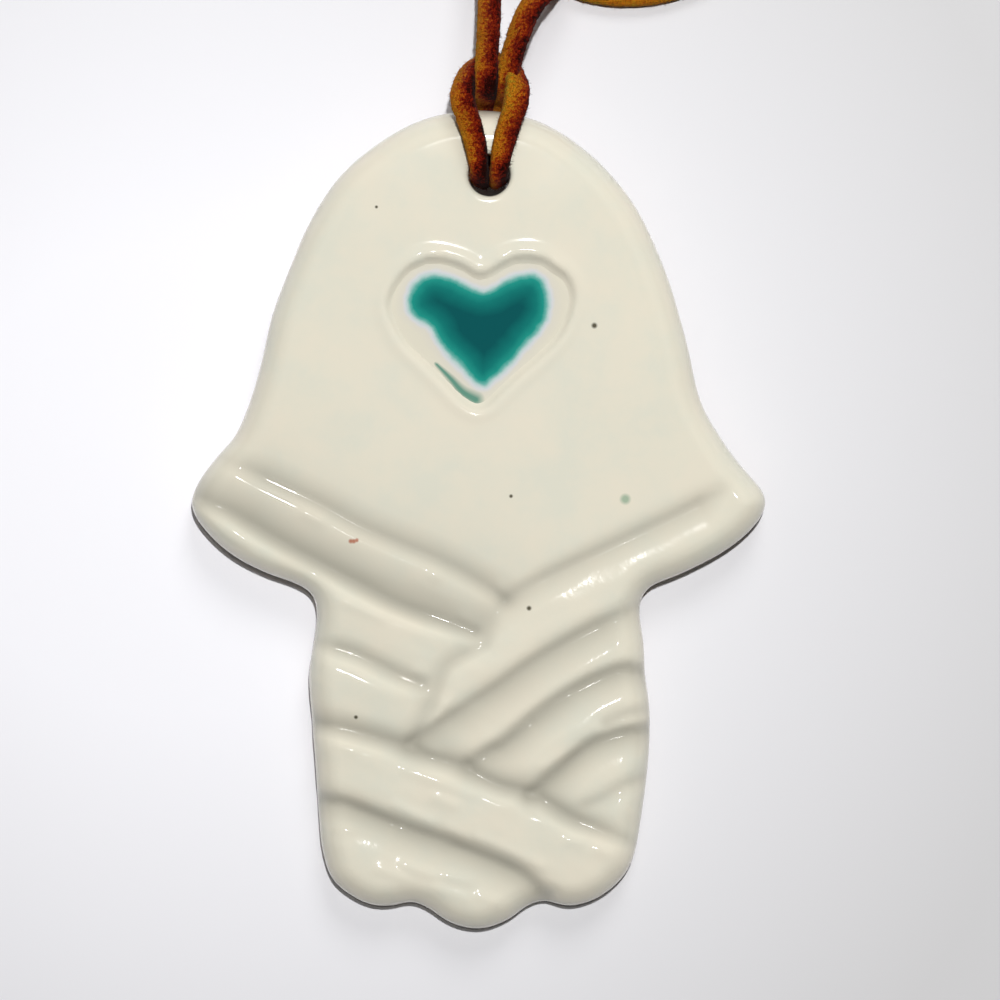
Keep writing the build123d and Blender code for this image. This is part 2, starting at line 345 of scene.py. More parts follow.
left_tail = [
    tuple(left_exit),
    tuple(left_exit + left_way_out * left_exit_run),
    (0.0013, 0.0656, 0.0077),
    (0.0005, 0.0695, 0.0052),
    (-0.0006, 0.0733, 0.0026),
    (-0.0015, 0.0772, table_height),
    (-0.0017, 0.0806, table_height),
]
left_rolls = [35, 35, 35, 28, 18, 8, 0]
right_tail = [
    tuple(right_exit),
    tuple(right_exit + right_way_out * right_exit_run),
    (0.0072, 0.0628, 0.0084),
    (0.0097, 0.0657, 0.0068),
    (0.0116, 0.0689, 0.005),
    (0.0124, 0.073, 0.003),
    (0.0116, 0.0778, 0.0014),
    (0.0099, 0.0826, table_height),
    (0.00885, 0.0879, table_height),
    (0.00885, 0.0925, table_height),
    (0.01087, 0.0966, table_height),
    (0.0145, 0.09945, table_height),
]
right_rolls = [35, 35, 35, 30, 24, 16, 8, 0, 0, 0, 0, 0]


def strip_along(route, rolls, seed):
    """What strip needs for a route of the lace, rolled at its control points."""
    half_widths = rolled(route, rolls, lace_width / 2)
    return nurbs_places(route), nurbs_places(np.array(route) + half_widths), lace_thickness, seed


def add_cord(name, tail, rolls, turn, nodes, seed):
    """A free strand of the lace, from the hitch round its turn to the knot, and its centre line."""
    part = strip_along(tail + turn, rolls + [0] * len(turn), seed)
    cord = join_strips(name, [part])
    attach(cord, "lace")
    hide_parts(*nodes)
    return cord, part[0]


left_cord, left_centre = add_cord(
    "lace_left_strand", left_tail, left_rolls, turn_route(outer_turn_radius, outer_start_angle),
    ["lace_left_tail", "lace_outer_turn"], 11)
right_cord, right_centre = add_cord(
    "lace_right_strand", right_tail, right_rolls, turn_route(inner_turn_radius, inner_start_angle),
    ["lace_right_tail", "lace_inner_turn"], 12)


# Each strand of the hitch ends inside its cord, narrower and thinner, so that the joint doesn't show
hitch_lap = 0.6 * mm
lap_width_share = 0.9
hitch_thickness = 0.97 * lace_thickness


def add_hitch():
    """Both strands over the edge, behind the hand and out through the hole, to meet in the bight."""
    strands = []
    for route, guides, seed in ((left_route, left_guides, 13), (right_route, right_guides, 19)):
        start = route[0] + unit(route[0] - route[1]) * hitch_lap
        start_guide = start + (guides[0] - route[0]) * lap_width_share
        centre = nurbs_places(np.vstack([start, route]))
        guide = nurbs_places(np.vstack([start_guide, guides]))
        strands.append((centre, guide, hitch_thickness, seed))
    hitch = join_strips("lace_hitch_strip", strands)
    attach(hitch, "lace")
    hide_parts("lace_hitch")
    return hitch


hitch = add_hitch()

# The knot: a strip wound round both strands, and the two short ends that leave it
knot_length = 6.6 * mm
knot_lead = 1.0 * mm
knot_radius = 1.75 * mm
knot_turns = 3
steps_per_turn = 10
knot_strip_share = 0.98
# The wound strip is tucked in at both its ends, to this share of the radius
tuck_share = 0.3
tuck_growth = 6
left_end_route = [(0.0034, 0.0746, 0.0016), (0.0029, 0.0784, table_height), (0.0031, 0.0826, table_height)]
right_end_route = [(0.006, 0.0744, 0.0016), (0.0061, 0.078, table_height), (0.0057, 0.0816, table_height)]


def add_knot():
    """The knot of both strands: the wound strip, two leads into it and two short ends."""
    end = math.radians(end_angle)
    way = np.array((math.sin(end), -math.cos(end), 0.0))
    sideways = np.array((way[1], -way[0], 0.0))
    up = np.array((0.0, 0.0, 1.0))
    middle = np.array(on_turn((outer_turn_radius + inner_turn_radius) / 2, end_angle))
    middle[2] = knot_radius + lace_thickness / 2
    centre = middle + way * (knot_length / 2 + knot_lead)
    pitch = knot_length / knot_turns
    steps = knot_turns * steps_per_turn
    wraps, guides = [], []
    for index in range(steps + 1):
        share = index / steps
        angle = 2 * math.pi * knot_turns * share
        tuck = min(1.0, tuck_growth * share + tuck_share, tuck_growth * (1 - share) + tuck_share)
        out = sideways * math.cos(angle) + up * math.sin(angle)
        place = centre + way * ((share - 0.5) * (knot_length - pitch)) + out * knot_radius * tuck
        wraps.append(place)
        guides.append(place + way * pitch / 2 * knot_strip_share)
    parts = [(nurbs_places(wraps), nurbs_places(guides), lace_thickness, 14)]
    for radius, seed in ((outer_turn_radius, 15), (inner_turn_radius, 16)):
        start = np.array(on_turn(radius, end_angle))
        lead = [tuple(start), tuple(start + way * knot_lead), tuple(centre)]
        parts.append(strip_along(lead, [0] * len(lead), seed))
    for route, seed in ((left_end_route, 17), (right_end_route, 18)):
        route = [tuple(centre)] + route
        parts.append(strip_along(route, [0] * len(route), seed))
    knot = join_strips("lace_knot_strips", parts)
    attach(knot, "lace")
    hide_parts("lace_knot")
    return knot


knot = add_knot()

# Outline of the hand in the photograph, clockwise from the top
outline_pixels = [
    (489, 110), (537, 120), (586, 150), (629, 196), (665, 268), (687, 340), (706, 412), (721, 437),
    (737, 460), (755, 481), (765, 493), (768, 503), (764, 515), (748, 535), (726, 552), (697, 568),
    (670, 580), (654, 586), (644, 595), (641, 606), (645, 648), (646, 676), (650, 704), (651, 736),
    (649, 768), (642, 822), (636, 856), (630, 872), (614, 891), (592, 905), (566, 910), (544, 905),
    (529, 909), (510, 923), (478, 933), (448, 926), (426, 911), (411, 905), (395, 909), (372, 909),
    (348, 898), (331, 883), (323, 862), (317, 815), (314, 765), (310, 715), (308, 672), (313, 640),
    (315, 606), (311, 595), (299, 587), (267, 575), (232, 557), (206, 534), (192, 514), (189, 502),
    (194, 488), (214, 459), (234, 436), (245, 412), (260, 364), (271, 316), (289, 268), (310, 220),
    (343, 172), (371, 148), (423, 119),
]

# Valleys between the bands, from left to right. Each has its places, its depth, the share of that depth at
# its two ends, the side of the steep wall (1 above it and -1 below it), and the reach of its gentle side.
# Depths and reaches are in millimetres.
valley_pixels = {
    "left_first": (
        [(212, 456), (245, 468), (280, 484), (320, 503), (360, 525), (400, 543), (440, 560), (480, 582),
         (505, 598)],
        0.9, (0.35, 1.0), -1, 2.4),
    "left_second": (
        [(200, 496), (240, 516), (280, 540), (320, 562), (360, 583), (400, 603), (440, 618), (474, 630)],
        1.25, (0.8, 0.9), -1, 3.6),
    "left_third": (
        [(318, 643), (340, 648), (360, 655), (380, 665), (400, 675), (422, 684)],
        0.9, (0.5, 0.9), -1, 1.5),
    "cross_first": (
        [(310, 722), (340, 727), (380, 738), (420, 752), (460, 766), (500, 785), (540, 797), (565, 814),
         (600, 829), (637, 845)],
        1.1, (0.9, 0.4), -1, 1.7),
    "cross_second": (
        [(314, 800), (345, 806), (375, 818), (410, 832), (440, 842), (480, 857), (520, 876), (545, 897)],
        1.25, (0.8, 0.8), 1, 2.2),
    "right_first": (
        [(505, 602), (520, 592), (560, 572), (600, 553), (640, 534), (680, 515), (720, 495), (740, 487)],
        0.8, (0.9, 0.1), 1, 2.4),
    "right_second": (
        [(412, 743), (440, 727), (460, 714), (500, 688), (540, 660), (580, 637), (620, 617), (642, 606)],
        1.05, (1.0, 0.6), 1, 2.8),
    "right_third": (
        [(470, 765), (500, 748), (535, 720), (567, 697), (600, 680), (630, 671), (649, 676)],
        1.15, (0.9, 0.9), 1, 2.2),
    "right_inner": ([(596, 731), (622, 718), (648, 712)], 0.6, (0.1, 1.0), 1, 1.2),
    "right_fourth": ([(530, 797), (555, 777), (587, 750), (617, 737), (650, 731)], 1.2, (0.9, 0.9), 1, 2.0),
    "right_fifth": ([(572, 812), (600, 802), (625, 788), (648, 779)], 0.6, (0.4, 0.9), 1, 1.6),
    "seam_upper": ([(505, 598), (490, 622), (483, 645)], 0.5, (1.0, 0.8), 1, 2.0),
    "seam_lower": ([(483, 645), (445, 668), (432, 698), (412, 743)], 0.7, (0.7, 1.0), 1, 2.0),
}

heart_rim_pixels = [
    (384, 304), (389, 288), (399, 273), (413, 261), (431, 255), (450, 258), (467, 264), (480, 272),
    (493, 266), (505, 258), (525, 253), (542, 256), (558, 265), (571, 277), (577, 293), (574, 315),
    (564, 338), (542, 361), (520, 380), (502, 397), (486, 411), (476, 413), (461, 405), (441, 385),
    (420, 364), (401, 345), (390, 326),
]
turquoise_pixels = [
    (408, 304), (411, 290), (420, 279), (434, 274), (450, 277), (470, 287), (483, 291), (493, 288),
    (508, 280), (525, 275), (539, 277), (546, 285), (549, 300), (549, 315), (539, 331), (525, 348),
    (511, 364), (496, 378), (485, 387), (476, 384), (462, 368), (447, 354), (437, 341), (431, 329),
    (419, 321), (411, 314),
]
streak_pixels = [(436, 364), (450, 378), (464, 393), (476, 400)]


def smooth_line(points, spacing, closed=False):
    """Places along a curve through the points, about as far apart as the spacing."""
    points = np.array(points, float)
    if closed:
        knots = np.vstack([points[-1:], points, points[:2]])
    else:
        knots = np.vstack([2 * points[:1] - points[1:2], points, 2 * points[-1:] - points[-2:-1]])
    runs = np.diff(knots, axis=0)
    lengths = np.linalg.norm(runs, axis=1)[:, None]
    slopes = runs / lengths
    ways = (slopes[:-1] * lengths[1:] + slopes[1:] * lengths[:-1]) / (lengths[:-1] + lengths[1:])
    places = []
    for index in range(len(ways) - 1):
        start, end, length = knots[index + 1], knots[index + 2], lengths[index + 1]
        steps = max(2, math.ceil(length[0] / spacing))
        for step in range(steps):
            t = step / steps
            places.append(
                (2 * t**3 - 3 * t**2 + 1) * start + (t**3 - 2 * t**2 + t) * length * ways[index]
                + (3 * t**2 - 2 * t**3) * end + (t**3 - t**2) * length * ways[index + 1]
            )
    if not closed:
        places.append(points[-1])
    return np.array(places)


def even_ring(places, count):
    """A closed line with evenly spaced places."""
    ring = np.vstack([places, places[:1]])
    reached = np.concatenate([[0], np.cumsum(np.linalg.norm(np.diff(ring, axis=0), axis=1))])
    wanted = np.linspace(0, reached[-1], count, endpoint=False)
    return np.column_stack([np.interp(wanted, reached, ring[:, axis]) for axis in (0, 1)])


def eased_ring(ring, passes):
    for _ in range(passes):
        ring = (np.roll(ring, 1, axis=0) + 2 * ring + np.roll(ring, -1, axis=0)) / 4
    return ring


def around(ring):
    """From the place before each place of a ring to the one after it."""
    return np.roll(ring, -1, axis=0) - np.roll(ring, 1, axis=0)


def ring_normals(ring):
    """Outward normals of a ring that runs clockwise."""
    ways = unit(around(ring))
    return np.column_stack([-ways[:, 1], ways[:, 0]])


def nearest_on(places, line):
    """For each place its distance to the line, its side (1 left, -1 right) and how far along it is."""
    best = np.full(len(places), np.inf)
    side = np.zeros(len(places))
    along = np.zeros(len(places))
    for index, (start, way) in enumerate(zip(line[:-1], np.diff(line, axis=0))):
        offset = places - start
        share = np.clip(offset @ way / (way @ way), 0, 1)
        gap = offset - share[:, None] * way
        distance = np.hypot(gap[:, 0], gap[:, 1])
        closer = distance < best
        best[closer] = distance[closer]
        cross = way[0] * gap[:, 1] - way[1] * gap[:, 0]
        side[closer] = (cross / (np.hypot(*way) * np.maximum(distance, 1e-9)))[closer]
        along[closer] = (index + share[closer]) / (len(line) - 1)
    return best, side, along


def inside_ring(places, ring):
    """Which places lie inside a closed line."""
    inside = np.zeros(len(places), bool)
    for start, end in zip(ring, np.roll(ring, -1, axis=0)):
        crosses = (start[1] > places[:, 1]) != (end[1] > places[:, 1])
        if start[1] == end[1]:
            continue
        at = start[0] + (places[:, 1] - start[1]) * (end[0] - start[0]) / (end[1] - start[1])
        inside ^= crosses & (places[:, 0] < at)
    return inside


def depth_inside(places, ring):
    """Signed distance to a closed line, positive inside."""
    closed = np.vstack([ring, ring[:1]])
    distance, _, _ = nearest_on(places, closed)
    return np.where(inside_ring(places, ring), distance, -distance)


def eased_step(values):
    values = np.clip(values, 0, 1)
    return values * values * (3 - 2 * values)


ring_spacing = 0.3 * mm
streak_spacing = 0.4 * mm
valley_spacing = 0.8 * mm
outline_count = 720
heart_rim_count = 200
turquoise_count = 180
# How much of a bend's radius a ring may be drawn inward, and the passes that spread that room
inset_share = 0.7
room_passes = 24
least_bend = 1e-6


def pixel_line(pixels, spacing, closed=False):
    """A smooth line through pixels of the photograph."""
    return smooth_line([from_pixel(pixel) for pixel in pixels], spacing, closed)


def pixel_ring(pixels, count, passes):
    """An even and eased closed line through pixels of the photograph."""
    return eased_ring(even_ring(pixel_line(pixels, ring_spacing, True), count), passes)


def corner_room(ring, reach):
    """How much of a reach the ring can be drawn inward at each place before it crosses itself."""
    ways = ring_normals(ring)
    bend = (around(ways) * unit(around(ring))).sum(1)
    run = np.linalg.norm(around(ring), axis=1)
    room = np.minimum(1, inset_share / (reach * np.maximum(bend / run, least_bend)))
    for _ in range(room_passes):
        room = np.minimum(room, (np.roll(room, 1) + room + np.roll(room, -1)) / 3)
    return room[:, None]


# The rounded rim, and the insets of the rings that follow it
rim_round = 3.2 * mm
rim_drop = 4.0 * mm
rim_insets = np.array([0, 0.04, 0.12, 0.25, 0.45, 0.7, 1.05, 1.5, 2.0, 2.6]) * mm
outline = pixel_ring(outline_pixels, outline_count, passes=8)
outline_out = ring_normals(outline) * corner_room(outline, rim_insets[-1])
heart_rim = pixel_ring(heart_rim_pixels, heart_rim_count, passes=4)
turquoise = pixel_ring(turquoise_pixels, turquoise_count, passes=3)
streak = pixel_line(streak_pixels, streak_spacing)
valleys = [
    (pixel_line(pixels, valley_spacing), depth * mm, ends, steep_side, gentle * mm)
    for pixels, depth, ends, steep_side, gentle in valley_pixels.values()
]

lit_wall_width = 1.5 * mm
dark_wall_width = 1.3 * mm
valley_floor = 0.25 * mm
merge_power = 2.2
end_taper_share = 0.18
recess_depth = 1.2 * mm
recess_lip_share = 0.4
recess_lip_wall = 0.9 * mm
recess_slope = 3.2 * mm
lip_height = 0.14 * mm
lip_width = 0.75 * mm
crown = 0.25 * mm
crown_width = 4.0 * mm
# Height and length of the waves that a hand leaves in the clay, and where in the noise they are cut
waves = [(0.16 * mm, 17 * mm), (0.03 * mm, 5.5 * mm)]
wave_layer = 3.1
ripple_layer = 7.7
# Ripples that run along the bands: their height, length and width
ripples = [(0.075 * mm, 6.0 * mm, 2.1 * mm), (0.016 * mm, 3.0 * mm, 1.05 * mm)]
left_band_slope = math.radians(-25)
right_band_slope = math.radians(32)
# The right bands lie right of this place and above the line of the first band across
right_bands_start = 0.0
right_bands_growth = 5 * mm
cross_left_y = -31 * mm
cross_fall = 0.36
# The palm is smooth, and the ripples grow over this stretch of the hand's length
ripple_start = 2 * mm
ripple_growth = 12 * mm


def relief(places):
    """How far the face lies below its level in the valleys between the bands."""
    total = np.zeros(len(places))
    for line, depth, (start_share, end_share), steep_side, gentle_width in valleys:
        distance, side, along = nearest_on(places, line)
        taper = np.interp(along, [0, end_taper_share, 1 - end_taper_share, 1], [start_share, 1, 1, end_share])
        steepness = np.clip((1 + side * steep_side) / 2, 0, 1)
        gentle = np.exp((valley_floor - np.sqrt(distance**2 + valley_floor**2)) / gentle_width)
        steep = np.exp(-(distance / (lit_wall_width if steep_side < 0 else dark_wall_width))**2)
        total += (depth * taper * (gentle + (steep - gentle) * steepness))**merge_power
    return total ** (1 / merge_power)


def unevenness(places):
    """The waves of a surface shaped by hand, and the ripples along its bands."""
    slow = np.array([
        sum(height * noise.noise(Vector((x / length, y / length, wave_layer + index)))
            for index, (height, length) in enumerate(waves))
        for x, y in places
    ])
    x, y = places[:, 0], places[:, 1]
    right = eased_step((x - right_bands_start) / right_bands_growth)
    right = right * eased_step((y - cross_left_y + cross_fall * x) / right_bands_growth)
    fast = np.zeros(len(places))
    for slope, share in ((left_band_slope, 1 - right), (right_band_slope, right)):
        along = x * math.cos(slope) + y * math.sin(slope)
        across = y * math.cos(slope) - x * math.sin(slope)
        for height, length, width in ripples:
            fast += share * height * np.array([
                noise.noise(Vector((u, v, ripple_layer))) for u, v in zip(along / length, across / width)])
    return slow + fast * eased_step((ripple_start - y) / ripple_growth)


# Short ridges in the glaze: the two ends of each flank that catches the light, above the ridge's crest
ridge_pixels = [
    ((305, 509), (321, 517)), ((253, 554), (268, 565)), ((345, 597), (383, 613)), ((434, 571), (438, 573)),
    ((462, 613), (477, 622)), ((500, 583), (506, 591)), ((416, 667), (424, 669)), ((444, 701), (440, 712)),
    ((340, 741), (353, 745)), ((430, 748), (435, 750)), ((473, 756), (478, 758)), ((502, 738), (527, 721)),
    ((537, 715), (571, 694)), ((541, 763), (577, 744)), ((405, 765), (470, 790)), ((435, 793), (455, 801)),
    ((395, 801), (430, 818)), ((450, 825), (465, 833)), ((478, 834), (492, 840)), ((500, 843), (540, 862)),
    ((400, 827), (445, 841)), ((340, 824), (352, 826)), ((378, 865), (402, 873)), ((405, 861), (435, 872)),
    ((434, 883), (467, 895)), ((447, 871), (470, 876)), ((480, 893), (495, 898)), ((570, 836), (580, 838)),
    ((600, 844), (607, 848)), ((415, 259), (419, 257)), ((430, 254), (434, 254)), ((503, 257), (507, 256)),
    ((520, 253), (535, 253)), ((554, 263), (558, 265)),
]
ridge_width = 0.7 * mm
ridge_height = 0.13 * mm
ridge_drop = (0, 0.5 * mm)


def ridges(places):
    """The height of the short ridges in the glaze."""
    rise = np.zeros(len(places))
    for start, end in ridge_pixels:
        crest = np.array([from_pixel(start), from_pixel(end)]) - ridge_drop
        distance, _, _ = nearest_on(places, crest)
        rise = np.maximum(rise, np.exp(-(distance / ridge_width)**2))
    return ridge_height * rise


def face_height(places, edge_distance):
    """Height of the glazed face at places whose distance to the outline is known."""
    drop = relief(places)
    inside = depth_inside(places, heart_rim)
    recess = recess_depth * (recess_lip_share * eased_step(inside / recess_lip_wall)
                             + (1 - recess_lip_share) * eased_step(inside / recess_slope))
    lip = lip_height * np.exp(-((inside + lip_width / 2) / lip_width)**2)
    bulge = crown * (1 - np.exp(-edge_distance / crown_width)) - crown
    rim = rounding(edge_distance, rim_round, rim_drop)
    return slab_thickness - drop - recess - rim + lip + bulge + unevenness(places) + ridges(places), drop


# Lattices of the face and the back, and the room round them
lattice_pitch = 0.42 * mm
lattice_margin = 0.5 * lattice_pitch
row_share = math.sqrt(0.75)
back_pitch = 3.0 * mm
back_margin = 0.8 * mm
# The wall below the rim, as share of its height, inset and glaze, and the bevel at its foot
wall_rings = [(0.75, -0.03 * mm, 1.0), (0.5, 0.0, 0.4), (0.28, 0.1 * mm, 0.4)]
bevel_inset = 0.15 * mm
bevel_angles = (20, 45, 70, 90)
# Rings round the hole's edge, by their spread, and down the bore, as height, spread and glaze
hole_count = 64
hole_round = 0.6 * mm
hole_rings = np.array([0, 0.04, 0.11, 0.21, 0.33, 0.46, 0.6]) * mm
bore_rings = [
    (3.0 * mm, -0.05 * mm, 1.0), (1.6 * mm, 0.0, 0.6), (0.7 * mm, 0.05 * mm, 0.2),
    (0.25 * mm, 0.25 * mm, 0.0), (0.0, 0.6 * mm, 0.0),
]


def rounding(inset, reach, fall):
    """Fall of a rounded edge at a distance inside it."""
    share = np.clip(1 - inset / reach, 0, 1)
    return fall * (1 - np.sqrt(1 - share**2))


def circle(radius):
    angles = np.linspace(0, 2 * math.pi, hole_count, endpoint=False)
    return np.column_stack([hole_side_offset + radius * np.cos(angles), hole_y + radius * np.sin(angles)])


def lattice(pitch, outer, margin):
    """A triangular lattice inside a closed line and outside the hole."""
    low, high = outer.min(0), outer.max(0)
    rows = []
    for index in range(int((high[1] - low[1]) / (pitch * row_share))):
        xs = np.arange(low[0] + (index % 2) * pitch / 2, high[0], pitch)
        rows.append(np.column_stack([xs, np.full(len(xs), low[1] + index * pitch * row_share)]))
    places = np.vstack(rows)
    places = places[depth_inside(places, outer) > margin]
    clear = hole_radius + hole_round + margin
    return places[np.hypot(places[:, 0] - hole_side_offset, places[:, 1] - hole_y) > clear]


def filled(outer, hole, inner):
    """Triangles between two closed lines, over both lines' places and those between them."""
    places = np.vstack([outer, hole, inner])
    edges = [(i, (i + 1) % len(outer)) for i in range(len(outer))]
    edges += [(len(outer) + i, len(outer) + (i + 1) % len(hole)) for i in range(len(hole))]
    result = delaunay_2d_cdt([Vector(place) for place in places / mm], edges, [], 0, 1e-5)
    origin = [found[0] for found in result[3]]
    triangles = np.array([[origin[corner] for corner in face] for face in result[2]])
    middles = places[triangles].mean(1)
    keep = inside_ring(middles, outer) & ~inside_ring(middles, hole)
    return triangles[keep]


def ring_strip(first, second, count):
    """Quads between two rings of one count, given by their first vertices."""
    return [(first + i, first + (i + 1) % count, second + (i + 1) % count, second + i) for i in range(count)]


def build_hand():
    """The glazed hand as one closed mesh: face, rounded rim, wall, back and bore."""
    vertices, faces, valley, glazed = [], [], [], []

    def add(places, heights, drops=0.0, glaze=0.0, after=None):
        """Add places and, after a ring that starts at a vertex, the quads between the two rings."""
        first, count = len(vertices), len(places)
        vertices.extend((x, y, z) for (x, y), z in zip(places, np.broadcast_to(heights, count)))
        valley.extend(np.broadcast_to(drops / mm, count))
        glazed.extend([glaze] * count)
        if after is not None:
            faces.extend(ring_strip(after, first, count))
        return first

    inner_ring = outline - outline_out * rim_insets[-1]
    hole_ring = circle(hole_radius + hole_rings[-1])
    middle = lattice(lattice_pitch, inner_ring, lattice_margin)
    places = np.vstack([inner_ring, hole_ring, middle])
    heights, drops = face_height(places, depth_inside(places, outline))
    first = add(places, heights, drops, 1.0)
    faces.extend(tuple(face) for face in filled(inner_ring, hole_ring, middle))

    last = first
    for inset in rim_insets[-2::-1]:
        ring = outline - outline_out * inset
        heights, drops = face_height(ring, inset * np.linalg.norm(outline_out, axis=1))
        last = add(ring, heights, drops, 1.0, last)
    for share, inset, glaze in wall_rings:
        last = add(outline - outline_out * inset, heights * share, glaze=glaze, after=last)
    for angle in np.radians(bevel_angles):
        back_ring = outline - outline_out * (bevel_inset + back_bevel * (1 - math.cos(angle)))
        last = add(back_ring, back_bevel * (1 - math.sin(angle)), after=last)
    back_first = last

    last = first + len(inner_ring)
    for spread in hole_rings[-2::-1]:
        ring = circle(hole_radius + spread)
        heights, drops = face_height(ring, depth_inside(ring, outline))
        last = add(ring, heights - rounding(spread, hole_round, hole_round), drops, 1.0, last)
    for height, spread, glaze in bore_rings:
        ring = circle(hole_radius + spread)
        last = add(ring, height, glaze=glaze, after=last)

    back_middle = lattice(back_pitch, back_ring, back_margin)
    middle_first = add(back_middle, 0.0)
    lookup = [*range(back_first, back_first + outline_count), *range(last, last + hole_count)]
    lookup += range(middle_first, middle_first + len(back_middle))
    for face in filled(back_ring, ring, back_middle):
        faces.append(tuple(lookup[corner] for corner in face[::-1]))
    hand = mesh_object("glazed_hand", vertices, faces, {"valley": valley, "glazed": glazed})
    hand.data.transform(tip_over)
    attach(hand, "hand")
    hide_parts("hand_slab")
    return hand


hand = build_hand()

# The pool: its level above the floor, its inset from the rim, its foot, and the shares of its rings
pool_thickness = 0.55 * mm
pool_inset = 0.45 * mm
pool_foot_depth = 0.3 * mm
pool_foot_share = 0.9
pool_rings = [
    1.0, 0.985, 0.97, 0.955, 0.935, 0.91, 0.885, 0.86, 0.83, 0.8, 0.77, 0.74, 0.7, 0.65, 0.6, 0.52, 0.42,
    0.31, 0.2, 0.1,
]
pool_centre_pixel = (482, 325)
# The streak grows from this share of its width, and the pool's foot has neither turquoise nor streak
streak_first_width = 0.25
foot_inward = -1.0
foot_trace = 9.0


def build_pool():
    """The glass in the heart, a closed lens that fills the recess to a level."""
    centre = np.array(from_pixel(pool_centre_pixel))
    room = corner_room(heart_rim, pool_inset)
    edge = eased_ring(heart_rim - ring_normals(heart_rim) * room * pool_inset, passes=4)
    floor = face_height(centre[None, :], depth_inside(centre[None, :], outline))[0][0]
    level = floor + pool_thickness
    vertices, faces, inward, trace = [], [], [], []
    count = len(edge)
    for share in pool_rings:
        ring = centre + (edge - centre) * share
        vertices.extend((x, y, level) for x, y in ring)
        inward.extend(depth_inside(ring, turquoise) / mm)
        distance, _, along = nearest_on(ring, streak)
        trace.extend(distance / mm / (streak_first_width + (1 - streak_first_width) * along))
    for index in range(len(pool_rings) - 1):
        faces.extend(ring_strip((index + 1) * count, index * count, count))
    top = len(vertices)
    vertices.append((*centre, level))
    inward.append(depth_inside(centre[None, :], turquoise)[0] / mm)
    trace.append(nearest_on(centre[None, :], streak)[0][0] / mm)
    last = (len(pool_rings) - 1) * count
    faces.extend((last + (i + 1) % count, last + i, top) for i in range(count))
    bottom = len(vertices)
    foot_ring = centre + (edge - centre) * pool_foot_share
    vertices.extend((x, y, floor - pool_foot_depth) for x, y in foot_ring)
    inward.extend([foot_inward] * count)
    trace.extend([foot_trace] * count)
    faces.extend(ring_strip(0, bottom, count))
    faces.append(tuple(range(bottom, bottom + count)))
    pool = mesh_object("heart_glass_pool", vertices, faces, {"inward": inward, "trace": trace})
    pool.data.transform(tip_over)
    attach(pool, "hand")
    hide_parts("heart_glaze")
    return pool


pool = build_pool()


# Materials
def new_material(name):
    material = bpy.data.materials.new(name)
    material.use_nodes = True
    tree = material.node_tree
    return material, tree, tree.nodes["Principled BSDF"]


def noise_node(tree, look):
    """Noise in the object's own coordinates, of a scale, a detail and a roughness."""
    place = tree.nodes.new("ShaderNodeTexCoord")
    texture = tree.nodes.new("ShaderNodeTexNoise")
    for name, value in zip(("Scale", "Detail", "Roughness"), look):
        texture.inputs[name].default_value = value
    tree.links.new(place.outputs["Object"], texture.inputs["Vector"])
    return texture.outputs["Fac"]


def ramp_node(tree, source, stops):
    """A colour ramp over a value, as (position, colour) stops."""
    ramp = tree.nodes.new("ShaderNodeValToRGB")
    elements = ramp.color_ramp.elements
    while len(elements) < len(stops):
        elements.new(0.5)
    for element, (position, colour) in zip(elements, stops):
        element.position = position
        element.color = (*colour, 1) if hasattr(colour, "__len__") else (colour, colour, colour, 1)
    tree.links.new(source, ramp.inputs["Fac"])
    return ramp.outputs["Color"]


def mix_node(tree, factor, first, second, blend="MIX"):
    """A mix of two colours, where each argument is a value or a socket."""
    mix = tree.nodes.new("ShaderNodeMix")
    mix.data_type = "RGBA"
    mix.blend_type = blend
    for socket, value in ((mix.inputs[0], factor), (mix.inputs[6], first), (mix.inputs[7], second)):
        if isinstance(value, bpy.types.NodeSocket):
            tree.links.new(value, socket)
        elif hasattr(value, "__len__"):
            socket.default_value = (*value, 1)
        else:
            socket.default_value = value
    return mix.outputs[2]


def attribute_node(tree, name):
    attribute = tree.nodes.new("ShaderNodeAttribute")
    attribute.attribute_name = name
    return attribute.outputs["Fac"]


def scaled_node(tree, source, low, high):
    """A value mapped from a range to 0..1."""
    spread = tree.nodes.new("ShaderNodeMapRange")
    spread.inputs["From Min"].default_value = low
    spread.inputs["From Max"].default_value = high
    tree.links.new(source, spread.inputs["Value"])
    return spread.outputs["Result"]


def bump_node(tree, height, distance):
    bump = tree.nodes.new("ShaderNodeBump")
    bump.inputs["Distance"].default_value = distance
    tree.links.new(height, bump.inputs["Height"])
    return bump.outputs["Normal"]


def math_node(tree, operation, first, second, third=0.0):
    """One sum over values or sockets."""
    node = tree.nodes.new("ShaderNodeMath")
    node.operation = operation
    for socket, value in zip(node.inputs, (first, second, third)):
        if isinstance(value, bpy.types.NodeSocket):
            tree.links.new(value, socket)
        else:
            socket.default_value = value
    return node.outputs[0]


def distance_node(tree, place):
    """The level distance from a fixed place, in the object's own coordinates."""
    here = tree.nodes.new("ShaderNodeTexCoord")
    level = tree.nodes.new("ShaderNodeVectorMath")
    level.operation = "MULTIPLY"
    tree.links.new(here.outputs["Object"], level.inputs[0])
    level.inputs[1].default_value = (1, 1, 0)
    gap = tree.nodes.new("ShaderNodeVectorMath")
    gap.operation = "DISTANCE"
    tree.links.new(level.outputs[0], gap.inputs[0])
    gap.inputs[1].default_value = (place[0], place[1], 0)
    return gap.outputs["Value"]


def coordinate_node(tree, axis, source="Object"):
    """One coordinate of the object, or of the direction into the world."""
    here = tree.nodes.new("ShaderNodeTexCoord")
    parts = tree.nodes.new("ShaderNodeSeparateXYZ")
    tree.links.new(here.outputs[source], parts.inputs[0])
    return parts.outputs[axis]


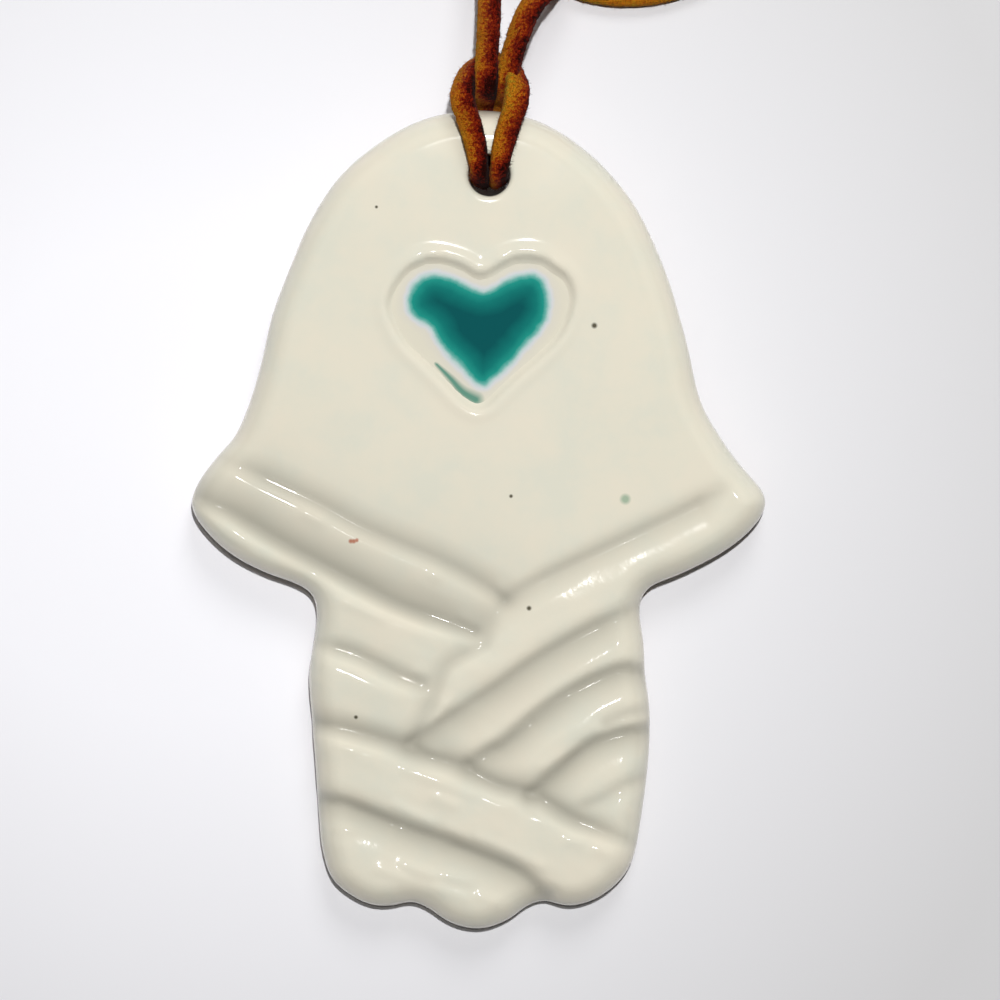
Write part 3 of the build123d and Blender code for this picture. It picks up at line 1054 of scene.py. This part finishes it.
glaze_colour = (0.725, 0.69, 0.57)
glaze_warm = (0.745, 0.695, 0.57)
glaze_cool = (0.695, 0.68, 0.57)
# Darker glaze in the valleys: partly pooled glaze, partly painted shade
glaze_pooled_and_shaded = (0.42, 0.4, 0.33)
clay_colour = (0.52, 0.43, 0.33)
clay_dark = (0.34, 0.27, 0.2)
dark_speck = (0.1, 0.09, 0.06)
red_speck = (0.45, 0.2, 0.13)
green_speck = (0.36, 0.45, 0.33)
# Specks that were fired into the glaze: pixel, radius and colour
specks = [
    ((511, 496), 0.13 * mm, dark_speck), ((529, 608), 0.17 * mm, dark_speck),
    ((356, 717), 0.14 * mm, dark_speck), ((594, 326), 0.2 * mm, dark_speck),
    ((377, 208), 0.11 * mm, dark_speck), ((351, 541), 0.16 * mm, red_speck),
    ((354, 541), 0.16 * mm, red_speck), ((357, 540), 0.14 * mm, red_speck),
    ((625, 499), 0.35 * mm, green_speck),
]
# Where a speck starts and is full, as shares of its radius
speck_edge = (2.2, 0.9)
# Depths of a valley in millimetres between which the glaze darkens, partly as pooled glaze and partly as
# painted shade
pooling_and_shade = (0.3, 1.25)
glaze_edge = (0.35, 0.6)
clay_roughness = 0.75
glaze_roughness = 0.09
glaze_bump = 0.009 * mm
palm_bump_share = 0.12
# Noise of each material, as scale, detail and roughness
glaze_clouds = (130, 4.0, 0.6)
glaze_ripples = (1500, 2.0, 0.5)
clay_grain = (2600, 5.0, 0.7)
glass_clouds = (420, 4.0, 0.6)
suede_patches = (420, 3.0, 0.6)
suede_grain = (2700, 5.0, 0.8)
suede_pores = (7000, 2.0, 0.6)


def glaze_material():
    material, tree, shader = new_material("off_white_glaze")
    clouds = noise_node(tree, glaze_clouds)
    tone = ramp_node(tree, clouds, [(0.35, glaze_cool), (0.5, glaze_colour), (0.65, glaze_warm)])
    # Valleys darkened by pooled glaze and by painted shade
    valley = scaled_node(tree, attribute_node(tree, "valley"), *pooling_and_shade)
    tone = mix_node(tree, valley, tone, glaze_pooled_and_shaded)
    for pixel, radius, speck_colour in specks:
        place = laid([(*from_pixel(pixel), slab_thickness)])[0]
        away = distance_node(tree, place)
        speck = scaled_node(tree, away, speck_edge[0] * radius, speck_edge[1] * radius)
        tone = mix_node(tree, speck, tone, speck_colour)
    clay = mix_node(tree, noise_node(tree, clay_grain), clay_dark, clay_colour)
    glazed = scaled_node(tree, attribute_node(tree, "glazed"), *glaze_edge)
    tree.links.new(mix_node(tree, glazed, clay, tone), shader.inputs["Base Color"])
    rough = ramp_node(tree, glazed, [(0.0, clay_roughness), (1.0, glaze_roughness)])
    tree.links.new(rough, shader.inputs["Roughness"])
    up_the_hand = coordinate_node(tree, "Y")
    banded = scaled_node(tree, up_the_hand, ripple_start, ripple_start - ripple_growth)
    strength = math_node(tree, "MULTIPLY_ADD", banded, 1 - palm_bump_share, palm_bump_share)
    ripple = math_node(tree, "MULTIPLY", noise_node(tree, glaze_ripples), strength)
    tree.links.new(bump_node(tree, ripple, glaze_bump), shader.inputs["Normal"])
    return material


# Glass from its clear edge inward, by millimetres inside the turquoise, and its streak
glass_depths = (-1.1, 3.9)
glass_cloud_reach = 0.9
glass_tones = [
    (0.0, (0.68, 0.645, 0.53)), (0.17, (0.66, 0.63, 0.54)), (0.24, (0.62, 0.63, 0.64)),
    (0.3, (0.46, 0.59, 0.57)), (0.37, (0.13, 0.4, 0.35)), (0.44, (0.015, 0.27, 0.22)),
    (0.62, (0.006, 0.17, 0.15)), (0.95, (0.003, 0.085, 0.09)),
]
glass_roughness = 0.07
streak_colour = (0.02, 0.21, 0.15)
streak_edge = (1.15, 0.2)
streak_strength = 0.85


def glass_material():
    material, tree, shader = new_material("turquoise_glass")
    inward = attribute_node(tree, "inward")
    clouds = noise_node(tree, glass_clouds)
    depth = math_node(tree, "MULTIPLY_ADD", clouds, glass_cloud_reach, inward)
    tone = ramp_node(tree, scaled_node(tree, depth, *glass_depths), glass_tones)
    trace = scaled_node(tree, attribute_node(tree, "trace"), *streak_edge)
    trace = math_node(tree, "MULTIPLY", trace, streak_strength)
    tree.links.new(mix_node(tree, trace, tone, streak_colour), shader.inputs["Base Color"])
    shader.inputs["Roughness"].default_value = glass_roughness
    return material


suede_olive = (0.33, 0.24, 0.016)
suede_ochre = (0.47, 0.16, 0.008)
suede_rust = (0.36, 0.055, 0.005)
suede_red = (0.19, 0.01, 0.004)
suede_dark = (0.018, 0.003, 0.002)
suede_tones = [
    (0.22, suede_olive), (0.42, suede_ochre), (0.56, suede_ochre), (0.66, suede_rust), (0.8, suede_red),
    (1.0, suede_dark),
]
# Where the suede starts on those tones, and what each source adds
suede_start = -0.29
side_weight = 0.27
patch_weight = 0.5
grain_weight = 1.35
# The red brown also carries painted shade in the hole and under the bight
red_and_shade_weight = 0.5
pore_tones = [(0.36, 0.15), (0.58, 1.0)]
pore_strength = 0.85
nap_bump = 0.12 * mm
suede_surface = {"Roughness": 0.95, "Sheen Weight": 0.03, "Sheen Roughness": 0.5, "Specular IOR Level": 0.05}


def suede_material():
    material, tree, shader = new_material("ochre_suede")
    grain = noise_node(tree, suede_grain)
    sources = [
        (attribute_node(tree, "side"), side_weight), (noise_node(tree, suede_patches), patch_weight),
        (grain, grain_weight), (attribute_node(tree, "red"), red_and_shade_weight),
    ]
    level = suede_start
    for source, weight in sources:
        level = math_node(tree, "MULTIPLY_ADD", source, weight, level)
    tone = ramp_node(tree, level, suede_tones)
    pores = ramp_node(tree, noise_node(tree, suede_pores), pore_tones)
    tone = mix_node(tree, pore_strength, tone, pores, "MULTIPLY")
    tree.links.new(tone, shader.inputs["Base Color"])
    for name, value in suede_surface.items():
        shader.inputs[name].default_value = value
    tree.links.new(bump_node(tree, grain, nap_bump), shader.inputs["Normal"])
    return material


def dress(thing, material):
    thing.data.materials.clear()
    thing.data.materials.append(material)


dress(hand, glaze_material())
dress(pool, glass_material())
suede = suede_material()
for piece in (left_cord, right_cord, hitch, knot):
    dress(piece, suede)


# Floor, world and lamps
floor_half_width = 2.0
brightest_floor_pixel = (180, 480)
# The floor's tones, painted light that fades with the distance from its brightest place, as a share of this
# reach
floor_painted_light_reach = 115 * mm
floor_painted_light_tones = [
    (0.0, (0.92, 0.915, 0.95)), (0.25, (0.905, 0.9, 0.935)), (0.51, (0.81, 0.805, 0.83)),
    (0.95, (0.63, 0.625, 0.63)),
]
floor_roughness = 0.9
floor_specular = 0.1
# The world's level at the horizon and in the sky, and the heights between which it changes
horizon_level = 0.7
sky_level = 0.045
sky_edge = (0.16, 0.04)
world_colour = (0.95, 0.955, 0.97, 1)
# Lamps: name, place, width, power in watts, and whether the glaze mirrors it
lamps = [
    ("main", (0.03, 0.115, 0.6), 0.014, 2.85, False),
    ("side", (0.12, 0.5, 0.45), 0.3, 1.4, False),
    ("glint", (0.0, 0.47, 3.0), 0.045, 7.0, True),
]


def add_floor():
    """A pale floor with painted light, brightest beside the hand and darker away from it."""
    size = floor_half_width
    corners = [(-size, -size, 0), (size, -size, 0), (size, size, 0), (-size, size, 0)]
    floor = mesh_object("floor", corners, [(0, 1, 2, 3)])
    material, tree, shader = new_material("pale_floor_with_painted_light")
    brightest = (*from_pixel(brightest_floor_pixel), 0.0)
    away = scaled_node(tree, distance_node(tree, brightest), 0.0, floor_painted_light_reach)
    tree.links.new(ramp_node(tree, away, floor_painted_light_tones), shader.inputs["Base Color"])
    shader.inputs["Roughness"].default_value = floor_roughness
    shader.inputs["Specular IOR Level"].default_value = floor_specular
    dress(floor, material)


def add_world():
    """A pale horizon behind the floor, and a dimmer sky above it."""
    world = bpy.data.worlds.new("world")
    world.use_nodes = True
    tree = world.node_tree
    sky = scaled_node(tree, coordinate_node(tree, "Z", "Generated"), *sky_edge)
    level = math_node(tree, "MULTIPLY_ADD", sky, horizon_level - sky_level, sky_level)
    tree.links.new(level, tree.nodes["Background"].inputs["Strength"])
    tree.nodes["Background"].inputs["Color"].default_value = world_colour
    bpy.context.scene.world = world


def add_lamp(name, place, size, power, mirrored):
    """A round lamp that faces the middle of the hand, and shows in the glaze only if it is mirrored."""
    lamp = bpy.data.lights.new(name, "AREA")
    lamp.shape = "DISK"
    lamp.size = size
    lamp.energy = power
    thing = bpy.data.objects.new(name, lamp)
    thing.location = place
    thing.rotation_euler = (Vector(place) * -1).to_track_quat("-Z", "Y").to_euler()
    thing.visible_glossy = mirrored
    bpy.context.scene.collection.objects.link(thing)


add_floor()
add_world()
for lamp_values in lamps:
    add_lamp(*lamp_values)
bpy.context.scene.view_settings.view_transform = "Standard"
